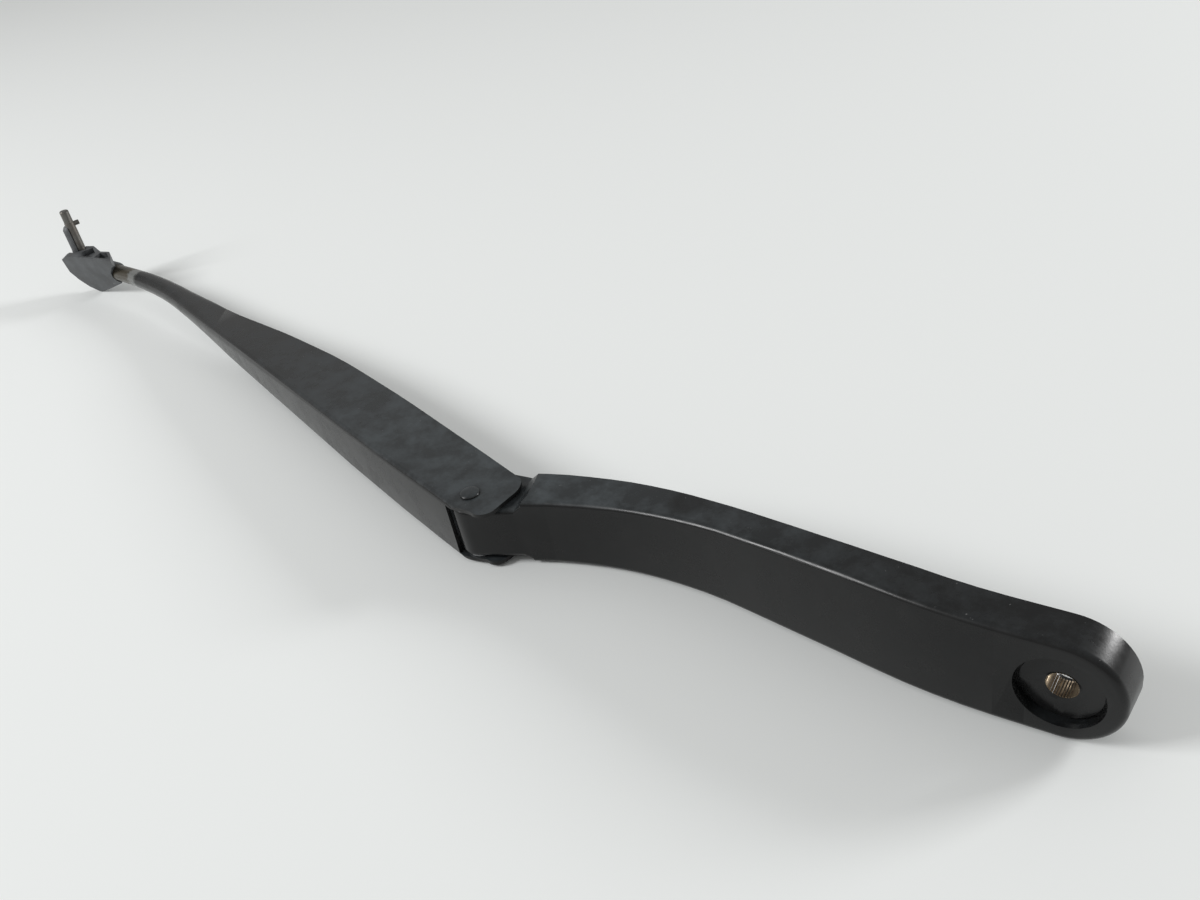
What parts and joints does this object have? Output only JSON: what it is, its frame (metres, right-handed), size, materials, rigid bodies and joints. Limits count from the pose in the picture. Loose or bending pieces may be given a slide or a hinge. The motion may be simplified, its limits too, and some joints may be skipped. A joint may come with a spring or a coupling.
{
  "type": "windscreen wiper arm",
  "caption": "Folding windscreen wiper arm with a cast head, a spring-loaded sheet channel and a stepped side pin at its tip.",
  "frame": {"origin": "on the spindle bore's axis, at the raised disc that the nut seats on", "axes": "+X from the hinge to the spindle end, +Y along the bore towards the windscreen side, +Z across the arm's width, up from the surface it lies on"},
  "size_m": [0.5795, 0.1161, 0.0475],
  "materials": {
    "black_paint": "satin black paint",
    "bronze": "sintered bronze",
    "zinc_steel": "zinc-plated steel",
    "black_steel": "painted over steel",
    "bare_steel": "bare steel",
    "grey_cast": "greyish blue painted casting",
    "spring_steel": "oiled spring steel"
  },
  "bodies": {
    "head": {"head_casting": "black_paint", "bush_upper": "bronze", "bush_lower": "bronze", "washer_upper": "zinc_steel", "washer_lower": "zinc_steel", "spring_pin": "zinc_steel"},
    "arm": {"pivot_rivet": "black_steel", "arm_channel": "black_paint", "tip_rod": "bare_steel", "tip_block": "grey_cast", "block_pin": "bare_steel", "side_pin": "bare_steel", "lock_pin": "bare_steel"},
    "link": {"spring_link": "zinc_steel"},
    "spring": {"tension_spring": "spring_steel"}
  },
  "joints": [
    {"name": "arm_fold", "type": "hinge", "parent": "head", "child": "arm", "pos_m": [-0.1886, 0.0011, -0.0037], "axis": [0, 0, 1], "range_deg": [0, 75]},
    {"name": "link_swing", "type": "hinge", "parent": "head", "child": "link", "pos_m": [-0.18444, 0.00908, -0.0037], "axis": [0, 0, 1], "range_deg": [0, 71]},
    {"name": "spring_stretch", "type": "slide", "parent": "link", "child": "spring", "axis": [-0.9625, 0.2713, 0], "range_m": [0, 0.008], "deforming": ["tension_spring"]}
  ],
  "couplings": [
    {"joint": "link_swing", "follows": "arm_fold", "ratio": 0.9438},
    {"joint": "spring_stretch", "follows": "arm_fold", "m_per_rad": 0.0057}
  ]
}
